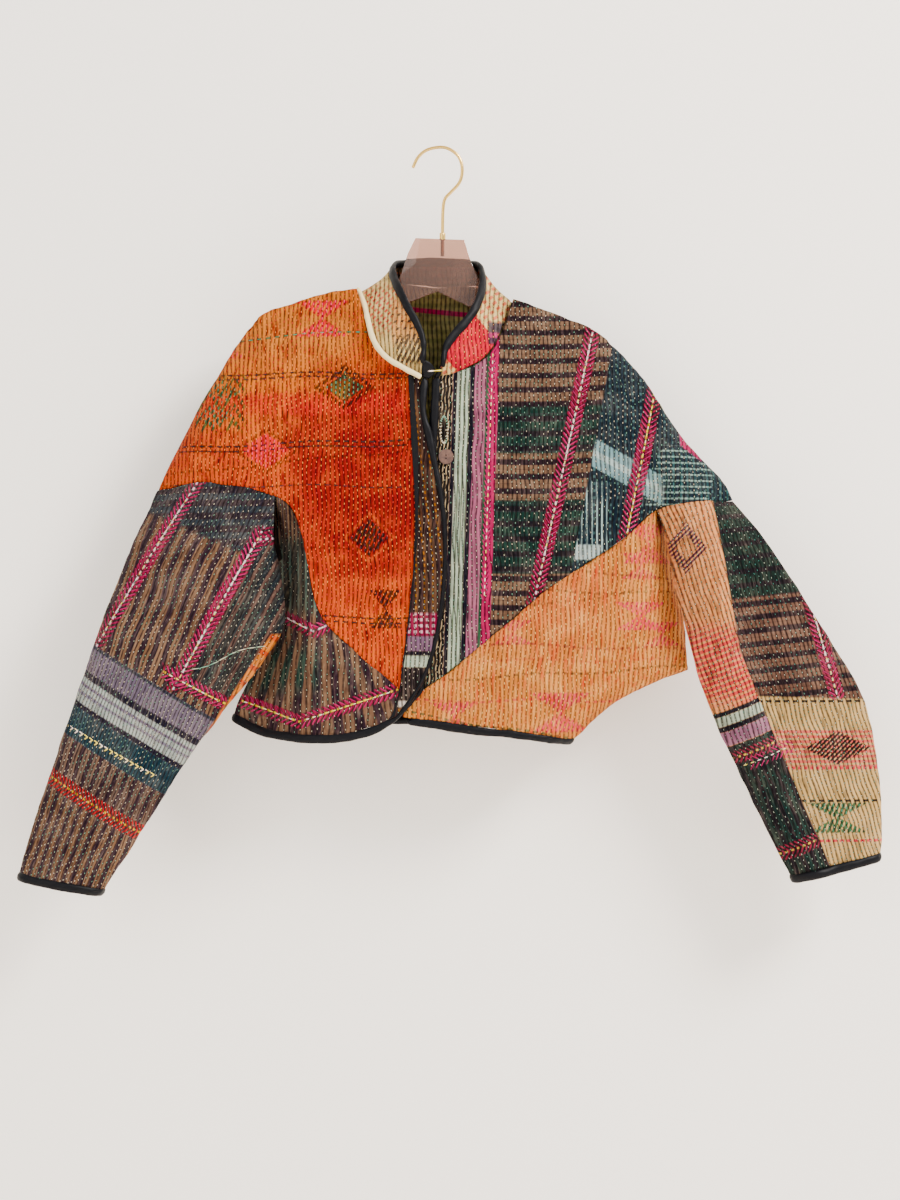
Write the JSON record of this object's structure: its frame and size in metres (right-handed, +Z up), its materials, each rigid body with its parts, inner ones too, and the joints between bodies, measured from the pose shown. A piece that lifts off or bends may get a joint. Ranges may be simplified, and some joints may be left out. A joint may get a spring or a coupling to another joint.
{
  "type": "quilted cropped jacket on a hanger",
  "caption": "Cropped patchwork jacket of hand-quilted cotton with a stand collar, wide drop sleeves and black bound edges, hanging open on a clear hanger with a wire hook.",
  "frame": {"origin": "the point under the top of the hanger's hook where it bears on a rail", "axes": "+Z up, the jacket's fronts face -Y, +X towards the wearer's left"},
  "size_m": [0.9554, 0.132, 0.8304],
  "materials": {
    "saffron": "matt, hand-quilted cotton",
    "stripe": "matt, hand-quilted cotton",
    "cream": "matt cotton",
    "black": "smooth sateen binding",
    "rose_acrylic": "clear tinted acrylic, polished",
    "brass": "polished wire",
    "horn": "satin, horn-like"
  },
  "bodies": {
    "root": {"back": "stripe", "button": "horn", "collar": "cream", "collar_binding": "black", "collar_piping": "cream", "front_tape": "black", "hanger_hook": "brass", "hanger_plate": "rose_acrylic", "left_cuff_binding": "black", "left_front": "stripe", "left_front_binding": "black", "left_hem_binding": "black", "left_side_panel": "saffron", "left_sleeve_back": "stripe", "left_sleeve_front": "stripe", "right_cuff_binding": "black", "right_front": "saffron", "right_front_band": "stripe", "right_front_binding": "black", "right_side_panel": "stripe", "right_sleeve_back": "stripe", "right_sleeve_front": "stripe"}
  },
  "joints": []
}
